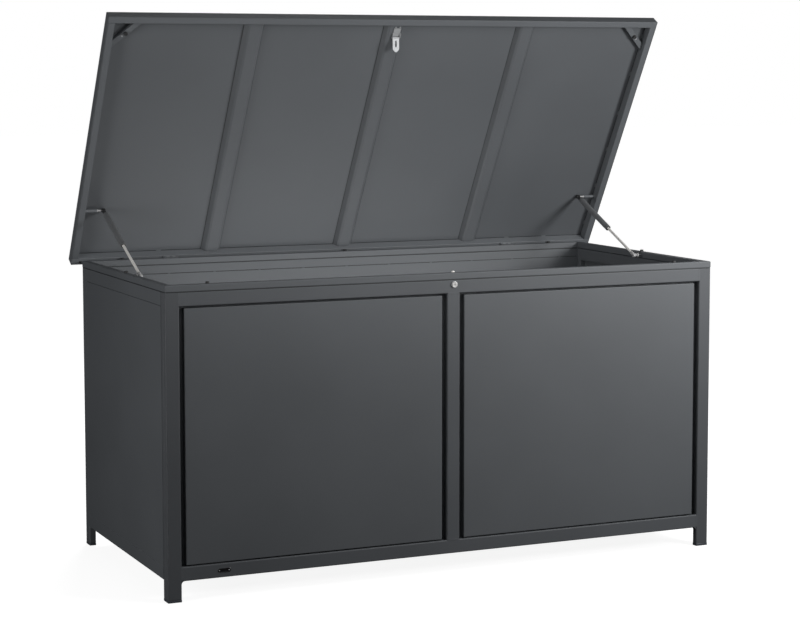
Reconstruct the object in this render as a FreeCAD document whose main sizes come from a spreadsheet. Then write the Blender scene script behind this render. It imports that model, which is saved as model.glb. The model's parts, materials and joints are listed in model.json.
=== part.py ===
"""Steel deck storage box with a lift-up lid on two gas struts.

X runs along the box, +Y from the front to the rear and +Z up.  The origin is on the floor, under
the middle of the overall bounding box.  The rest position has the lid open.
"""
import FreeCAD, Part
import math
import os
import re

import Sketcher

Vector = FreeCAD.Vector
Rotation = FreeCAD.Rotation
Placement = FreeCAD.Placement
X_AXIS = Vector(1, 0, 0)

os.makedirs("parts", exist_ok=True)
doc = FreeCAD.newDocument("DeckBox")

# ---------------------------------------------------------------- driving sizes, millimetres, degrees
SIZES = {
    "box_width": 1740,
    "box_depth": 818,
    "box_height": 880,
    "rim_size": 20,
    "tube_wide": 40,
    "tube_thin": 20,
    "tube_wall": 1.5,
    "tube_round": 3,
    "rail_base": 58,
    "foot_height": 8,
    "sheet": 1.5,
    "panel_setback": 3,
    "panel_lap": 12,
    "panel_side_gap": 15,
    "panel_top_gap": 5.5,
    "panel_low_gap": 3,
    "panel_fold": 2,
    "tray_flange": 12,
    "floor_base": 78,
    "lid_width": 1810,
    "lid_depth": 867.5,
    "lid_height": 30,
    "lid_skin": 1.5,
    "lid_fold": 2.5,
    "lid_rail": 20,
    "lid_wall": 2,
    "lid_gap": 6,
    "lid_rear": 13,
    "open_angle": 59.2,
    "rib_foot": 31,
    "rib_side": 22,
    "rib_face": 15,
    "rib_bevel": 3,
    "rib_rise": 14.5,
    "rib_spacing": 450,
    "brace_reach": 79.5,
    "brace_width": 16,
    "brace_depth": 10,
    "buffer_rad": 6,
    "buffer_height": 7,
    "hinge_inset": 6,
    "hinge_rise": 3,
    "hinge_width": 48,
    "hinge_place": 588,
    "leaf_sheet": 1.2,
    "knuckle_rad": 2.7,
    "pin_rad": 1.5,
    "strut_plane": 822,
    "strut_base_back": 374,
    "strut_base_drop": 10,
    "strut_lid_reach": 186,
    "strut_lid_depth": 19,
    "socket_rad": 6.5,
    "stud_rad": 3,
    "neck_rad": 3,
    "rod_rad": 4,
    "strut_tube_rad": 9,
    "strut_tube_wall": 1.2,
    "strut_mouth": 183.5,
    "strut_tube_end": 26,
    "bar_rad": 5.5,
    "bumper_rad": 6,
    "bumper_height": 5.6,
    "lock_across": 2,
    "lock_drop": 34,
    "lock_rad": 9.5,
    "lock_face": 5,
    "lock_stroke": 6.5,
    "shaft_rad": 3,
    "peg_rad": 2.5,
    "strike_across": 8,
    "strike_width": 22,
    "strike_sheet": 2,
    "strike_setback": 32,
    "strike_rise": 11,
    "strike_length": 44,
    "fit_gap": 0.05,
}

sheet = doc.addObject("Spreadsheet::Sheet", "Sizes")
for row, (alias, number) in enumerate(SIZES.items(), start=1):
    sheet.set(f"A{row}", alias)
    sheet.set(f"B{row}", str(number))
    sheet.setAlias(f"B{row}", alias)
doc.recompute()

parts = []


def value(expression):
    """Number that an expression over the sheet's cells comes to."""
    return float(sheet.evalExpression(bound(expression)))


CELL_WORDS = re.compile(r"\b(" + "|".join(SIZES) + r")\b")


def bound(expression):
    """The expression with every cell name written as a reference to the sheet."""
    return CELL_WORDS.sub(r"Sizes.\1", str(expression))


def bind(thing, **properties):
    """Bind properties of a document object to expressions over the sheet."""
    for name, expression in properties.items():
        thing.setExpression(name, bound(expression))
    return thing


def keep(thing, label):
    """Name a finished sub-part, which is exported under that name."""
    thing.Label = label
    parts.append(thing)
    return thing


# ---------------------------------------------------------------- main places
HALF = value("box_width / 2")
ANGLE = math.radians(value("open_angle"))
LID_UNDER = value("lid_gap - hinge_rise")
LID_BACK = value("hinge_inset + lid_rear")
LID_TOP = LID_UNDER + value("lid_height")
FOLD = value("lid_fold")
rear_reach = (
    value("box_depth - hinge_inset")
    + (LID_BACK - FOLD) * math.cos(ANGLE)
    + (LID_TOP - FOLD) * math.sin(ANGLE)
    + FOLD
)
FRONT = -(rear_reach - value("lock_face")) / 2
REAR = FRONT + value("box_depth")
TOP = value("box_height")
RIM_BASE = value("box_height - rim_size")
RAIL_TOP_BASE = RIM_BASE - value("tube_wide")
RAIL_BASE = value("rail_base")
OPEN_LOW = RAIL_BASE + value("tube_wide")
THIN = value("tube_thin")
WIDE = value("tube_wide")
PIVOT = Vector(0, REAR - value("hinge_inset"), TOP + value("hinge_rise"))
LID_TURN = Rotation(X_AXIS, -value("open_angle"))


def at(x, y, z):
    """Placement of a box piece, by the place of its corner or centre."""
    return Placement(Vector(x, y, z), Rotation())


def on_lid(x, y, z, turn=Rotation()):
    """Placement of a lid piece: the lid's frame has its origin on the hinge axis."""
    local = Placement(Vector(x, y, z), turn)
    return Placement(PIVOT, LID_TURN).multiply(local)


# ---------------------------------------------------------------- builders
def plane_of(body, role):
    """One of a body's own origin planes."""
    return next(f for f in body.Origin.OriginFeatures if f.Role == role)


def new_sketch(body, name, role="XY_Plane"):
    sketch = body.newObject("Sketcher::SketchObject", name)
    sketch.AttachmentSupport = (plane_of(body, role), "")
    sketch.MapMode = "FlatFace"
    return sketch


def add_rectangle(sketch, left, low, width, tall):
    """Rectangle whose place and size are bound to the sheet."""
    x0 = value(left)
    y0 = value(low)
    x1 = x0 + value(width)
    y1 = y0 + value(tall)
    corners = [Vector(x0, y0), Vector(x1, y0), Vector(x1, y1), Vector(x0, y1)]
    first = sketch.GeometryCount
    for k in range(4):
        sketch.addGeometry(Part.LineSegment(corners[k], corners[(k + 1) % 4]), False)
    for k in range(4):
        sketch.addConstraint(Sketcher.Constraint("Coincident", first + k, 2, first + (k + 1) % 4, 1))
    for k, kind in enumerate(("Horizontal", "Vertical", "Horizontal", "Vertical")):
        sketch.addConstraint(Sketcher.Constraint(kind, first + k))
    pin_distance(sketch, "DistanceX", (first, 1, first, 2), width)
    pin_distance(sketch, "DistanceY", (first + 1, 1, first + 1, 2), tall)
    pin_corner(sketch, first, left, low)


def pin_distance(sketch, kind, ends, expression):
    row = sketch.addConstraint(Sketcher.Constraint(kind, *ends, value(expression)))
    sketch.setExpression(f"Constraints[{row}]", bound(expression))


def pin_corner(sketch, line, left, low):
    """Tie a line's start to the sketch's origin at the given place."""
    if abs(value(left)) < 1e-9 and abs(value(low)) < 1e-9:
        sketch.addConstraint(Sketcher.Constraint("Coincident", line, 1, -1, 1))
        return
    pin_distance(sketch, "DistanceX", (-1, 1, line, 1), left)
    pin_distance(sketch, "DistanceY", (-1, 1, line, 1), low)


def add_outline(sketch, points):
    """Closed outline of straight lines through plain points."""
    corners = [Vector(x, y) for x, y in points]
    first = sketch.GeometryCount
    count = len(corners)
    for k in range(count):
        sketch.addGeometry(Part.LineSegment(corners[k], corners[(k + 1) % count]), False)
    for k in range(count):
        after = first + (k + 1) % count
        sketch.addConstraint(Sketcher.Constraint("Coincident", first + k, 2, after, 1))
        sketch.addConstraint(Sketcher.Constraint("Block", first + k))


def pad(body, sketch, length, back=False):
    feature = body.newObject("PartDesign::Pad", sketch.Name + "Pad")
    feature.Profile = sketch
    feature.Reversed = back
    bind(feature, Length=length)
    doc.recompute()
    return feature


def pocket(body, sketch, length, back=False):
    """Pocket that is checked to take something away."""
    before = body.Shape.Volume
    feature = body.newObject("PartDesign::Pocket", sketch.Name + "Pocket")
    feature.Profile = sketch
    feature.Reversed = back
    bind(feature, Length=length)
    doc.recompute()
    if body.Shape.Volume > before - 1:
        raise RuntimeError(f"{feature.Name} cuts nothing")
    return feature


def round_edges(body, feature, radius, wanted):
    """Fillet on the edges that a test picks."""
    names = [f"Edge{k + 1}" for k, edge in enumerate(feature.Shape.Edges) if wanted(edge)]
    fillet = body.newObject("PartDesign::Fillet", feature.Name + "Round")
    fillet.Base = (feature, names)
    bind(fillet, Radius=radius)
    doc.recompute()
    return fillet


PLANES = {"X": ("YZ_Plane", False), "Y": ("XZ_Plane", True), "Z": ("XY_Plane", False)}
SPAN = {"X": "XLength", "Y": "YLength", "Z": "ZLength"}


def tube(name, axis, wide, tall, length, wall="tube_wall", rounding="tube_round"):
    """Rectangular tube along an axis, with its corner at the body's origin and rounded long edges."""
    body = doc.addObject("PartDesign::Body", name)
    role, back = PLANES[axis]
    sketch = new_sketch(body, name + "Section", role)
    add_rectangle(sketch, "0", "0", wide, tall)
    add_rectangle(sketch, wall, wall, f"{wide} - 2 * {wall}", f"{tall} - 2 * {wall}")
    bar = pad(body, sketch, length, back)
    box = bar.Shape.BoundBox
    across = [a for a in "XYZ" if a != axis]

    def outer_long_edge(edge):
        spans = edge.BoundBox
        if getattr(spans, SPAN[axis]) < 0.9 * getattr(box, SPAN[axis]):
            return False
        return all(on_side(spans, box, a) for a in across)

    round_edges(body, bar, rounding, outer_long_edge)
    return body


def on_side(spans, box, axis):
    """Whether an edge lies on one of the two outer sides of the box across an axis."""
    place = getattr(spans, axis + "Min")
    low = abs(place - getattr(box, axis + "Min")) < 0.01
    high = abs(place - getattr(box, axis + "Max")) < 0.01
    return low or high


def mitre(body, triangles, tall):
    """Cut the ends of a tube to 45 degrees with upright triangular pockets."""
    sketch = new_sketch(body, body.Name + "Ends")
    for points in triangles:
        add_outline(sketch, points)
    pocket(body, sketch, tall, back=True)


def tray(name, wide, tall, deep, skin, fold=None):
    """Folded sheet tray, open at the bottom of its own frame, with its corner at the origin."""
    body = doc.addObject("PartDesign::Body", name)
    outer = new_sketch(body, name + "Outer")
    add_rectangle(outer, "0", "0", wide, tall)
    block = pad(body, outer, deep)
    if fold:
        high = block.Shape.BoundBox.ZMax
        block = round_edges(body, block, fold, lambda e: e.BoundBox.ZMax > high - 0.01)
    inner = new_sketch(body, name + "Inner")
    add_rectangle(inner, skin, skin, f"{wide} - 2 * {skin}", f"{tall} - 2 * {skin}")
    pocket(body, inner, f"{deep} - {skin}", back=True)
    return body


def box(name, wide, deep, tall):
    return bind(doc.addObject("Part::Box", name), Length=wide, Width=deep, Height=tall)


def cylinder(name, radius, length, axis="Z"):
    """Cylinder from its own origin along +X, +Y or +Z."""
    turns = {"X": Rotation(Vector(0, 1, 0), 90), "Y": Rotation(X_AXIS, -90), "Z": Rotation()}
    rod = bind(doc.addObject("Part::Cylinder", name), Radius=radius, Height=length)
    rod.Placement = Placement(Vector(), turns[axis])
    return rod


def move(thing, x, y, z):
    thing.Placement = Placement(Vector(x, y, z), thing.Placement.Rotation)
    return thing


def fuse(name, pieces):
    joined = doc.addObject("Part::MultiFuse", name)
    joined.Shapes = pieces
    joined.Refine = True
    return joined


def cut(name, base, tool):
    result = doc.addObject("Part::Cut", name)
    result.Base = base
    result.Tool = tool
    return result


def group(name, pieces):
    """Separate solids that share one node."""
    together = doc.addObject("Part::Compound", name)
    together.Links = pieces
    return together


def sides():
    """Name and sign of the left and right side."""
    return (("left", -1), ("right", 1))


def low_x(side, inner, outer):
    """Smaller X of a span that runs from inner to outer on one side."""
    return inner if side > 0 else -outer


# ---------------------------------------------------------------- front frame
def front_frame():
    post_length = "box_height - rim_size - foot_height"
    for word, side in sides():
        post = tube(f"FrontPost{word}", "Z", "tube_wide", "tube_thin", post_length)
        post.Placement = at(low_x(side, HALF - WIDE, HALF), FRONT, value("foot_height"))
        keep(post, f"front_post_{word}")
    centre_length = "box_height - rim_size - 2 * tube_wide - rail_base"
    centre = tube("FrontPostCentre", "Z", "tube_wide", "tube_thin", centre_length)
    centre.Placement = at(-WIDE / 2, FRONT, OPEN_LOW)
    keep(centre, "front_post_centre")
    rail_length = "box_width - 2 * tube_wide"
    low = tube("FrontRailLow", "X", "tube_thin", "tube_wide", rail_length)
    low.Placement = at(WIDE - HALF, FRONT, RAIL_BASE)
    keep(low, "front_bottom_rail")
    high = tube("FrontRailHigh", "X", "tube_thin", "tube_wide", rail_length)
    high.Placement = at(WIDE - HALF, FRONT, RAIL_TOP_BASE)
    bore = cylinder("LockBore", "lock_rad - 2", "tube_thin", "Y")
    move(bore, value("lock_across"), FRONT, value("box_height - lock_drop"))
    keep(cut("FrontRailDrilled", high, bore), "front_top_rail")


def front_panels():
    """Raised sheet fields that fill the front openings but for a gap, each with a flange behind the tubes."""
    opening_wide = "(box_width - 3 * tube_wide) / 2"
    opening_tall = "box_height - rim_size - 2 * tube_wide - rail_base"
    deep = "tube_thin + sheet - panel_setback"
    back = FRONT + THIN + value("sheet")
    lap = value("panel_lap")
    edge = value("sheet")
    side_gap, low_gap = value("panel_side_gap"), value("panel_low_gap")
    for word, side in sides():
        x = low_x(side, WIDE / 2, HALF - WIDE)
        wide = f"{opening_wide} - 2 * panel_side_gap"
        tall = f"{opening_tall} - panel_top_gap - panel_low_gap"
        field = tray(f"FrontField{word}", wide, tall, deep, "sheet", "panel_fold")
        field.Placement = Placement(Vector(x + side_gap, back, OPEN_LOW + low_gap), Rotation(X_AXIS, 90))
        plate = box(f"FrontFlange{word}", f"{opening_wide} + 2 * panel_lap", "sheet",
                    f"{opening_tall} + 2 * panel_lap")
        plate.Placement = at(x - lap, FRONT + THIN, OPEN_LOW - lap)
        hole = box(f"FrontHollow{word}", f"{wide} - 2 * sheet", "sheet", f"{tall} - 2 * sheet")
        hole.Placement = at(x + side_gap + edge, FRONT + THIN, OPEN_LOW + low_gap + edge)
        flange = cut(f"FrontRing{word}", plate, hole)
        keep(fuse(f"FrontPanel{word}", [field, flange]), f"front_panel_{word}")


# ---------------------------------------------------------------- sides and rear
def side_frames():
    post_length = "box_height - rim_size - foot_height"
    rail_length = "box_depth - 2 * tube_thin - tube_wide"
    for word, side in sides():
        x = low_x(side, HALF - THIN, HALF)
        front = tube(f"SidePostFront{word}", "Z", "tube_thin", "tube_thin", post_length)
        front.Placement = at(x, FRONT + THIN, value("foot_height"))
        keep(front, f"side_front_post_{word}")
        rear = tube(f"SidePostRear{word}", "Z", "tube_thin", "tube_wide", post_length)
        rear.Placement = at(x, REAR - WIDE, value("foot_height"))
        keep(rear, f"side_rear_post_{word}")
        for place, base in (("bottom", RAIL_BASE), ("top", RAIL_TOP_BASE)):
            rail = tube(f"SideRail{place}{word}", "Y", "tube_thin", "tube_wide", rail_length)
            rail.Placement = at(x, FRONT + 2 * THIN, base)
            keep(rail, f"side_{place}_rail_{word}")


def side_panels():
    """Flush sheets between the side tubes, folded inwards at their edges."""
    wide = "box_depth - 2 * tube_thin - tube_wide"
    tall = "box_height - rim_size - 2 * tube_wide - rail_base"
    for word, side in sides():
        panel = tray(f"SidePanel{word}", wide, tall, "tray_flange", "sheet")
        inner = side * (HALF - value("tray_flange"))
        if side > 0:
            corner = Vector(inner, FRONT + 2 * THIN, OPEN_LOW)
            turn = Rotation(Vector(0, 1, 0), Vector(0, 0, 1), X_AXIS, "ZXY")
        else:
            corner = Vector(inner, FRONT + 2 * THIN + value(wide), OPEN_LOW)
            turn = Rotation(Vector(0, -1, 0), Vector(0, 0, 1), Vector(-1, 0, 0), "ZXY")
        panel.Placement = Placement(corner, turn)
        keep(panel, f"side_panel_{word}")


def rear_frame():
    """Two rails with one flat sheet on their inner faces."""
    rail_length = "box_width - 2 * tube_thin"
    for place, base in (("bottom", RAIL_BASE), ("top", RAIL_TOP_BASE)):
        rail = tube(f"RearRail{place}", "X", "tube_thin", "tube_wide", rail_length)
        rail.Placement = at(THIN - HALF, REAR - THIN, base)
        keep(rail, f"rear_{place}_rail")
    tall = "box_height - rim_size - 2 * tube_wide - rail_base + 2 * panel_lap"
    slack = 1
    panel = box("RearPanel", f"{rail_length} - {2 * slack}", "sheet", tall)
    low = OPEN_LOW - value("panel_lap")
    panel.Placement = at(THIN + slack - HALF, REAR - THIN - value("sheet"), low)
    keep(panel, "rear_panel")


BEARER_SPACING = 500


def floor():
    """Loose floor sheet on three tubes that run from the front rail to the rear rail."""
    slack = 1
    plate = box("FloorPanel", f"box_width - 2 * tube_thin - {2 * slack}",
                f"box_depth - 2 * tube_thin - {2 * slack}", "sheet")
    plate.Placement = at(THIN + slack - HALF, FRONT + THIN + slack, value("floor_base"))
    keep(plate, "floor_panel")
    bearers = []
    for k in (-1, 0, 1):
        bearer = tube(f"FloorBearer{k + 1}", "Y", "tube_wide", "tube_thin", "box_depth - 2 * tube_thin")
        x = k * BEARER_SPACING - WIDE / 2
        bearer.Placement = at(x, FRONT + THIN, value("floor_base") - THIN)
        bearers.append(bearer)
    keep(group("FloorBearers", bearers), "floor_bearers")


def rim():
    """Mitred tube frame on top of the walls."""
    size = value("rim_size")
    for word, y, inner in (("front", FRONT, 1), ("rear", REAR - size, -1)):
        bar = tube(f"Rim{word}", "X", "rim_size", "rim_size", "box_width")
        near, far = (0, size) if inner > 0 else (size, 0)
        end = value("box_width")
        ends = [
            [(-1, near - inner), (-1, far + inner), (size + 1, far + inner)],
            [(end + 1, near - inner), (end - size - 1, far + inner), (end + 1, far + inner)],
        ]
        mitre(bar, ends, "rim_size")
        bar.Placement = at(-HALF, y, RIM_BASE)
        keep(bar, f"rim_{word}")
    for word, side in sides():
        bar = tube(f"Rim{word}", "Y", "rim_size", "rim_size", "box_depth")
        near, far = (0, size) if side < 0 else (size, 0)
        step = 1 if side < 0 else -1
        end = value("box_depth")
        ends = [
            [(near - step, -1), (far + step, -1), (far + step, size + 1)],
            [(near - step, end + 1), (far + step, end - size - 1), (far + step, end + 1)],
        ]
        mitre(bar, ends, "rim_size")
        bar.Placement = at(low_x(side, HALF - size, HALF), FRONT, RIM_BASE)
        keep(bar, f"rim_{word}")


def feet():
    """Plastic plugs in the open ends of the leg tubes."""
    plugs = []
    for word, side in sides():
        front = box(f"PlugFront{word}", "tube_wide", "tube_thin", "foot_height")
        front.Placement = at(low_x(side, HALF - WIDE, HALF), FRONT, 0)
        back = box(f"PlugSide{word}", "tube_thin", "tube_thin", "foot_height")
        back.Placement = at(low_x(side, HALF - THIN, HALF), FRONT + THIN, 0)
        plugs.append(fuse(f"FootFront{word}", [front, back]))
        rear = box(f"FootRear{word}", "tube_thin", "tube_wide", "foot_height")
        rear.Placement = at(low_x(side, HALF - THIN, HALF), REAR - WIDE, 0)
        plugs.append(rear)
    keep(group("FootPlugs", plugs), "foot_plugs")


# ---------------------------------------------------------------- small pieces on the box
SCREW_RAD = 2.1
BUMPER_FRONT_X = 745
BUMPER_SIDE_Y = 391


def bumpers():
    """Rubber stops that the closed lid lands on, each held by one screw."""
    middle = value("rim_size") / 2
    places = [(side * BUMPER_FRONT_X, FRONT + middle) for side in (-1, 1)]
    places += [(x, REAR - middle) for x in (-BUMPER_FRONT_X, 0, BUMPER_FRONT_X)]
    places += [(side * (HALF - middle), FRONT + BUMPER_SIDE_Y) for side in (-1, 1)]
    rubbers = []
    screws = []
    for k, (x, y) in enumerate(places):
        cone = doc.addObject("Part::Cone", f"BumperCone{k}")
        bind(cone, Radius1="bumper_rad", Radius2="bumper_rad - 1", Height="bumper_height")
        cone.Placement = at(x, y, TOP)
        hole = move(cylinder(f"BumperHole{k}", str(SCREW_RAD), "bumper_height"), x, y, TOP)
        rubbers.append(cut(f"Bumper{k}", cone, hole))
        screws.append(move(cylinder(f"BumperScrew{k}", str(SCREW_RAD), "bumper_height - 1"), x, y, TOP))
    keep(group("Bumpers", rubbers), "rim_bumpers")
    keep(group("BumperScrews", screws), "bumper_screws")


def nameplate():
    """Blank plate with two rivets on the bottom rail."""
    wide = 37.5
    tall = 12
    thick = 1
    centre_x = -706.5
    centre_z = RAIL_BASE + value("tube_wide") / 2
    plate = box("Plate", str(wide), str(thick), str(tall))
    plate.Placement = at(centre_x - wide / 2, FRONT - thick, centre_z - tall / 2)
    keep(plate, "blank_nameplate")
    rivets = []
    for k in (-1, 1):
        rivet = cylinder(f"PlateRivet{k + 1}", "1.6", "0.8", "Y")
        rivets.append(move(rivet, centre_x + k * 14.5, FRONT - thick - 0.8, centre_z))
    keep(group("PlateRivets", rivets), "nameplate_rivets")


PLUNGER_RAD = 5.5
PLUNGER_LONG = 13
PLUG_RAD = 3.5
PLUG_LONG = 8
LOCK_WALL = 3
YOKE_SETBACK = 1
YOKE_THICK = 2
YOKE_HALF = 8
YOKE_SHIFT = 4
YOKE_LOW = 838
YOKE_HIGH = 883.5
PEG_Z = 876
PEG_LONG = 6.5


def lock():
    """Push lock: pressing the plunger sends the yoke's peg through the slot of the strike plate."""
    x = value("lock_across")
    z = value("box_height - lock_drop")
    face = FRONT - value("lock_face")
    yoke_y = FRONT + THIN + YOKE_SETBACK
    gap = value("fit_gap")
    flange = move(cylinder("LockFlange", "lock_rad", "lock_face", "Y"), x, face, z)
    sleeve = move(cylinder("LockSleeve", "lock_rad - 2", "tube_thin", "Y"), x, FRONT, z)
    well = cylinder("LockWell", str(PLUNGER_RAD + gap), f"lock_face + tube_thin - {LOCK_WALL}", "Y")
    way_out = cylinder("LockExit", f"shaft_rad + {gap}", "tube_thin", "Y")
    hollow = fuse("LockHollow", [move(well, x, face, z), move(way_out, x, FRONT, z)])
    keep(cut("LockHousing", fuse("LockShell", [flange, sleeve]), hollow), "lock_housing")

    barrel = move(cylinder("PlungerBarrel", str(PLUNGER_RAD), str(PLUNGER_LONG), "Y"), x, face, z)
    shaft = cylinder("PlungerShaft", "shaft_rad", str(yoke_y + YOKE_THICK - face), "Y")
    peg = cylinder("PlungerPeg", "peg_rad", str(PEG_LONG + YOKE_THICK), "Y")
    move(peg, value("strike_across"), yoke_y, PEG_Z)
    yoke = box("PlungerYoke", str(2 * YOKE_HALF), str(YOKE_THICK), str(YOKE_HIGH - YOKE_LOW))
    yoke.Placement = at(x + YOKE_SHIFT - YOKE_HALF, yoke_y, YOKE_LOW)
    solid = fuse("PlungerSolid", [barrel, move(shaft, x, face, z), yoke, peg])
    seat = move(cylinder("PlungerSeat", str(PLUG_RAD + gap), str(PLUG_LONG), "Y"), x, face, z)
    keep(cut("Plunger", solid, seat), "lock_plunger")

    plug = move(cylinder("KeyPlugBody", str(PLUG_RAD), str(PLUG_LONG), "Y"), x, face, z)
    keyway = box("Keyway", "1.2", "5", "4.6")
    keyway.Placement = at(x - 0.6, face, z - 2.3)
    keep(cut("KeyPlug", plug, keyway), "key_plug")


# ---------------------------------------------------------------- hinges
KNUCKLES = 5
KNUCKLE_PLAY = 0.3


def knuckle_spans(first):
    """Start and length of every second knuckle along the hinge."""
    pitch = value("hinge_width") / KNUCKLES
    return [(k * pitch + KNUCKLE_PLAY / 2, pitch - KNUCKLE_PLAY) for k in range(first, KNUCKLES, 2)]


def hinge_half(name, first, bore_rad, leaf_y, leaf_deep, leaf_z, web_y, web_z, web_tall):
    """One leaf with its knuckles, in a frame whose origin is the pin's left end."""
    leaf = box(name + "Leaf", "hinge_width", str(leaf_deep), "leaf_sheet")
    leaf.Placement = at(0, leaf_y, leaf_z)
    pieces = [leaf]
    for k, (start, length) in enumerate(knuckle_spans(first)):
        roll = cylinder(f"{name}Roll{k}", "knuckle_rad", str(length), "X")
        pieces.append(move(roll, start, 0, 0))
        web = box(f"{name}Web{k}", str(length), "3.4", str(web_tall))
        web.Placement = at(start, web_y, web_z)
        pieces.append(web)
    bore = cylinder(name + "Bore", bore_rad, "hinge_width", "X")
    return cut(name, fuse(name + "Solid", pieces), bore)


def hinges():
    half = value("hinge_width") / 2
    rise = value("hinge_rise")
    leaf = value("leaf_sheet")
    box_leaves = []
    lid_leaves = []
    pins = []
    for word, side in sides():
        x = side * value("hinge_place") - half
        fixed = hinge_half(f"BoxLeaf{word}", 0, "pin_rad", -14, 11.5, -rise, -3.4, -rise, 1.5)
        fixed.Placement = Placement(PIVOT + Vector(x, 0, 0), Rotation())
        box_leaves.append(fixed)
        moving = hinge_half(f"LidLeaf{word}", 1, "pin_rad + fit_gap", 0.8, 16, LID_UNDER, 0.8, 1.2,
                            LID_UNDER + leaf - 1.2)
        moving.Placement = on_lid(x, 0, 0)
        lid_leaves.append(moving)
        pin = cylinder(f"HingePin{word}", "pin_rad", "hinge_width", "X")
        pins.append(move(pin, x, PIVOT.y, PIVOT.z))
    keep(group("BoxLeaves", box_leaves), "hinge_leaves_box")
    keep(group("LidLeaves", lid_leaves), "hinge_leaves_lid")
    keep(group("HingePins", pins), "hinge_pins")


# ---------------------------------------------------------------- lid
def lid_skin():
    skin = tray("LidSkin", "lid_width", "lid_depth", "lid_height", "lid_skin", "lid_fold")
    skin.Placement = on_lid(-value("lid_width") / 2, LID_BACK - value("lid_depth"), LID_UNDER)
    keep(skin, "lid_skin")


def lid_rails():
    skin = value("lid_skin")
    rail = value("lid_rail")
    tall = "lid_height - lid_skin"
    long_rail = "lid_width - 2 * lid_skin"
    half = value(long_rail) / 2
    front_y = LID_BACK - value("lid_depth") + skin
    rear_y = LID_BACK - skin - rail
    front = tube("LidRailFront", "X", "lid_rail", tall, long_rail, "lid_wall", "1.5")
    front.Placement = on_lid(-half, front_y, LID_UNDER)
    keep(front, "lid_front_rail")
    rear = tube("LidRailRear", "X", "lid_rail", tall, long_rail, "lid_wall", "1.5")
    rear.Placement = on_lid(-half, rear_y, LID_UNDER)
    recesses = []
    for word, side in sides():
        recess = box(f"LeafRecess{word}", "hinge_width", "16", "leaf_sheet")
        x = side * value("hinge_place") - value("hinge_width") / 2
        recess.Placement = on_lid(x, 0.8, LID_UNDER)
        recesses.append(recess)
    keep(cut("LidRailRecessed", rear, fuse("LeafRecesses", recesses)), "lid_rear_rail")
    for word, side in sides():
        bar = tube(f"LidRail{word}", "Y", "lid_rail", tall,
                   "lid_depth - 2 * lid_skin - 2 * lid_rail", "lid_wall", "1.5")
        bar.Placement = on_lid(low_x(side, half - rail, half), front_y + rail, LID_UNDER)
        keep(bar, f"lid_side_rail_{word}")


def rib_section():
    """Section of a folded hat that is open to the skin, as one closed outline."""
    high = value("lid_height - lid_skin")
    low = high - value("rib_rise")
    bend = low + value("rib_bevel")
    sheet_thick = value("sheet")
    foot, side, face = (value(name) for name in ("rib_foot", "rib_side", "rib_face"))
    outer = [(-foot, high), (-side, bend), (-face, low)]
    inner = [(2.0 - foot, high), (1.0 - side, bend + 1.2), (0.4 - face, low + sheet_thick)]
    around = outer + [(-x, z) for x, z in reversed(outer)]
    return around + [(-x, z) for x, z in inner] + list(reversed(inner))


def lid_ribs():
    """Folded stiffeners from the rear rail to the front rail."""
    reach = "lid_depth - 2 * lid_skin - 2 * lid_rail"
    start = LID_BACK - value("lid_depth - lid_skin - lid_rail")
    for k, word in enumerate(("left", "centre", "right")):
        body = doc.addObject("PartDesign::Body", f"LidRib{word}")
        section = new_sketch(body, f"LidRibSection{word}", "XZ_Plane")
        add_outline(section, rib_section())
        pad(body, section, reach, back=True)
        body.Placement = on_lid((k - 1) * value("rib_spacing"), start, LID_UNDER)
        keep(body, f"lid_rib_{word}")


def lid_braces():
    """Diagonal bars across the two front corners, each with a rubber buffer."""
    rim = value("lid_skin + lid_rail")
    inner_x = value("lid_width") / 2 - rim
    inner_y = LID_BACK - value("lid_depth") + rim
    reach = value("brace_reach")
    spread = value("brace_width") * math.sqrt(0.5)
    base = LID_UNDER + value("lid_height - lid_skin - rib_rise")
    tall = value("buffer_height")
    buffers = []
    for word, side in sides():
        body = doc.addObject("PartDesign::Body", f"LidBrace{word}")
        plan = new_sketch(body, f"LidBracePlan{word}")
        near = reach - spread
        far = reach + spread
        add_outline(plan, [(-side * near, 0), (-side * far, 0), (0, far), (0, near)])
        pad(body, plan, "brace_depth")
        body.Placement = on_lid(side * inner_x, inner_y, base)
        keep(body, f"lid_brace_{word}")
        buffer = cylinder(f"Buffer{word}", "buffer_rad", "buffer_height")
        buffer.Placement = on_lid(side * (inner_x - reach / 2), inner_y + reach / 2, base - tall)
        buffers.append(buffer)
    keep(group("LidBuffers", buffers), "lid_buffers")
    plug = cylinder("LidPlug", "4", "1.5")
    plug.Placement = on_lid(-HALF - 7, LID_BACK - 9, LID_UNDER - 1.5)
    keep(plug, "lid_plug")


# ---------------------------------------------------------------- gas struts
STRUT_BASE = Vector(0, FRONT + value("strut_base_back"), TOP - value("strut_base_drop"))
LID_STUD_Y = LID_BACK - value("strut_lid_reach")
LID_STUD_Z = LID_UNDER + value("strut_lid_depth")
STRUT_TOP = on_lid(0, LID_STUD_Y, LID_STUD_Z).Base
STRUT_LENGTH = (STRUT_TOP - STRUT_BASE).Length
STRUT_TURN = Rotation(Vector(0, 0, 1), STRUT_TOP - STRUT_BASE)
OPEN_PLAY = 1
FLANGE_RAD = 7
FLANGE_THICK = 2
TUBE_END = value("strut_tube_end")


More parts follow.
